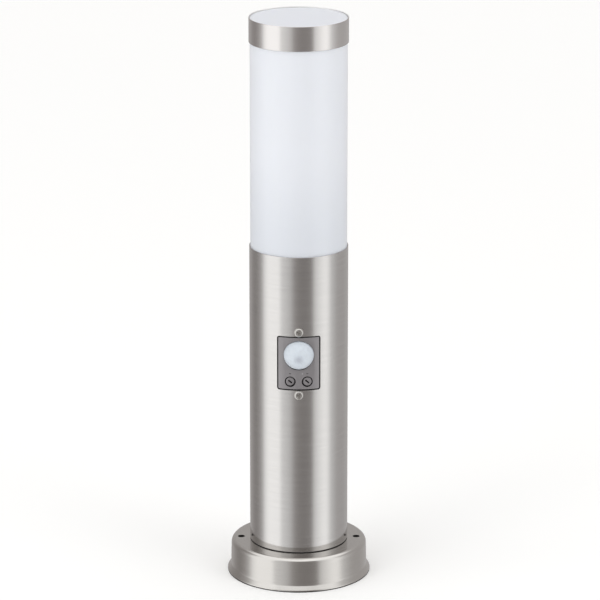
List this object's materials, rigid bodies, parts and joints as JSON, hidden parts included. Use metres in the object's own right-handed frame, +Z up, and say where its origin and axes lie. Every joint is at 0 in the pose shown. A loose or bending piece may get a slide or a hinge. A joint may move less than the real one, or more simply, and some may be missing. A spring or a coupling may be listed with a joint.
{
  "type": "bollard light",
  "caption": "Low round stainless bollard light with a flared drum base, motion sensor module in the post, and a closed opal shade that lifts off over a screw-in lamp.",
  "frame": {"origin": "on the ground at the centre of the base's footprint", "axes": "+Z up the post; the motion sensor faces -Y; the two anchor holes lie along X"},
  "size_m": [0.1112, 0.1112, 0.442],
  "materials": {
    "stainless": "fine circumferential brushing",
    "opal_shade": "opal polycarbonate, smooth",
    "sensor_grey": "fine-textured moulded ABS",
    "lens_white": "milky polyethylene",
    "black_rubber": "matt EPDM",
    "clear_silicone": "translucent silicone",
    "zinc_casting": "as-cast zinc alloy",
    "zinc_plated_steel": "bright zinc plate",
    "black_nylon": "moulded polyamide",
    "white_pbt": "moulded polyester",
    "brass": "bright",
    "nickel_plate": "nickel-plated",
    "board_green": "solder-masked laminate",
    "component_black": "moulded epoxy",
    "lamp_white": "smooth moulded plastic",
    "lamp_insulation": "vitrified glass",
    "lead_brown": "PVC insulation",
    "lead_blue": "PVC insulation",
    "lead_green_yellow": "PVC insulation"
  },
  "bodies": {
    "post": {"base_cover": "stainless", "backing_plate": "zinc_plated_steel", "base_gasket": "black_rubber", "foot_ring": "zinc_casting", "foot_screws": "zinc_plated_steel", "gland_body": "black_nylon", "gland_seal": "black_rubber", "gland_cap": "black_nylon", "gland_locknut": "black_nylon", "terminal_block": "white_pbt", "terminal_clamps": "brass", "terminal_screws": "zinc_plated_steel", "block_screws": "zinc_plated_steel", "earth_lug": "nickel_plate", "earth_screw": "zinc_plated_steel", "post_tube": "stainless", "carrier_rivets": "stainless", "sensor_case": "sensor_grey", "sensor_gasket": "black_rubber", "sensor_screws": "stainless", "sensor_cover": "sensor_grey", "cover_screws": "zinc_plated_steel", "lens": "lens_white", "lens_ring": "black_nylon", "detector": "nickel_plate", "circuit_board": "board_green", "board_screws": "zinc_plated_steel", "trimmers": "component_black", "relay": "component_black", "capacitors": "component_black", "lead_socket": "white_pbt", "lamp_carrier": "white_pbt", "holder_body": "white_pbt", "holder_shell": "nickel_plate", "holder_tongue": "brass", "holder_screws": "zinc_plated_steel", "sensor_live_lead": "lead_brown", "sensor_neutral_lead": "lead_blue", "lamp_neutral_lead": "lead_blue", "lamp_live_lead": "lead_brown", "earth_lead": "lead_green_yellow"},
    "shade_seal": {"shade_seal": "clear_silicone"},
    "shade": {"shade": "opal_shade", "top_band": "stainless"},
    "bulb_core": {"lamp_contact": "nickel_plate", "lamp_insulator": "lamp_insulation"},
    "bulb": {"lamp_globe": "lamp_white", "lamp_body": "lamp_white", "lamp_cap": "nickel_plate"},
    "time_dial": {"time_dial": "sensor_grey"},
    "dusk_dial": {"dusk_dial": "sensor_grey"}
  },
  "joints": [
    {"name": "shade_lift", "type": "slide", "parent": "post", "child": "shade_seal", "axis": [0, 0, 1], "range_m": [0, 0.19]},
    {"name": "shade_turn", "type": "hinge", "parent": "shade_seal", "child": "shade", "pos_m": [0, 0, 0.2515], "axis": [0, 0, 1], "range_deg": [-30, 0]},
    {"name": "bulb_rise", "type": "slide", "parent": "post", "child": "bulb_core", "axis": [0, 0, 1], "range_m": [0, 0.0273]},
    {"name": "bulb_turn", "type": "hinge", "parent": "bulb_core", "child": "bulb", "pos_m": [0, 0, 0.2515], "axis": [0, 0, 1], "range_deg": [0, 2700]},
    {"name": "time_dial_turn", "type": "hinge", "parent": "post", "child": "time_dial", "pos_m": [-0.0065, -0.037, 0.165], "axis": [0, -1, 0], "range_deg": [-105, 165]},
    {"name": "dusk_dial_turn", "type": "hinge", "parent": "post", "child": "dusk_dial", "pos_m": [0.0065, -0.037, 0.165], "axis": [0, -1, 0], "range_deg": [-105, 165]}
  ],
  "couplings": [
    {"joint": "bulb_rise", "follows": "bulb_turn", "m_per_rad": 0.00057757}
  ]
}
